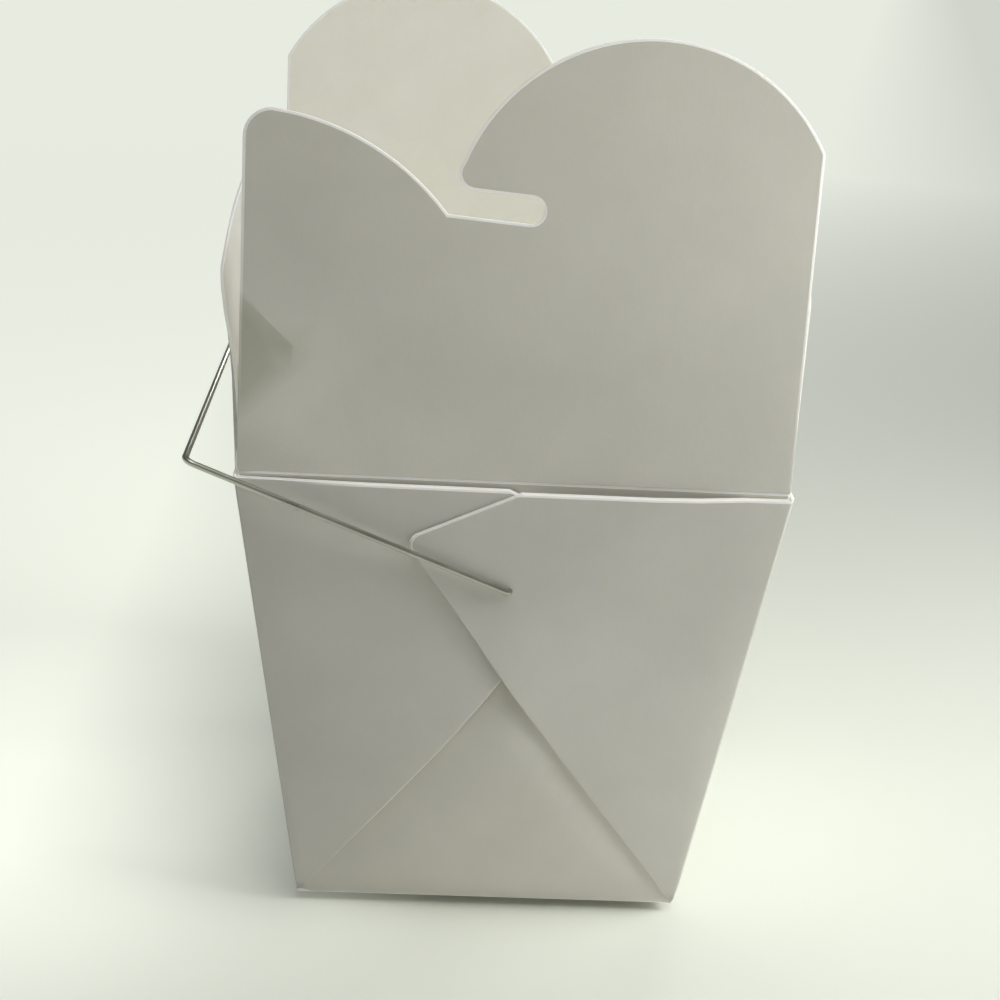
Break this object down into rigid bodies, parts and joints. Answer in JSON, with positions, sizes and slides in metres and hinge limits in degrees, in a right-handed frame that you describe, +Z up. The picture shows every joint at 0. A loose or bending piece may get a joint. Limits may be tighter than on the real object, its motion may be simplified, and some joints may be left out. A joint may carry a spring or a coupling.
{
  "type": "chinese takeout box",
  "caption": "Tapered folded paperboard takeout pail, open at the top, with interlocking lid flaps, dust flaps and a swinging wire bail.",
  "frame": {"origin": "centre of the flat of the base, on the surface the box stands on", "axes": "+X along the two web faces, -Y out of the front web face, +Z up"},
  "size_m": [0.1102, 0.1222, 0.175],
  "materials": {
    "paperboard": "matt bleached board with a faint clay sheen",
    "wire": "bright drawn wire"
  },
  "bodies": {
    "carton": {"carton_body": "paperboard"},
    "front_lock": {"front_lock_flap": "paperboard"},
    "rear_lock": {"rear_lock_flap": "paperboard"},
    "left_dust": {"left_dust_flap": "paperboard"},
    "right_dust": {"right_dust_flap": "paperboard"},
    "bail": {"wire_bail": "wire"}
  },
  "joints": [
    {"name": "left_dust_crease", "type": "hinge", "parent": "carton", "child": "left_dust", "pos_m": [-0.05057, 0, 0.0948], "axis": [0, 1, 0], "range_deg": [-40, 95]},
    {"name": "right_dust_crease", "type": "hinge", "parent": "carton", "child": "right_dust", "pos_m": [0.05057, 0, 0.0948], "axis": [0, -1, 0], "range_deg": [-45, 90]},
    {"name": "front_lock_crease", "type": "hinge", "parent": "carton", "child": "front_lock", "pos_m": [0, -0.05385, 0.09536], "axis": [-1, 0, 0], "range_deg": [-47.5, 87.5]},
    {"name": "rear_lock_crease", "type": "hinge", "parent": "carton", "child": "rear_lock", "pos_m": [0, 0.05392, 0.09592], "axis": [1, 0, 0], "range_deg": [-43, 92]},
    {"name": "bail_swing", "type": "hinge", "parent": "carton", "child": "bail", "pos_m": [0, 0, 0.07429], "axis": [0, 1, 0], "range_deg": [-71, 11]}
  ]
}
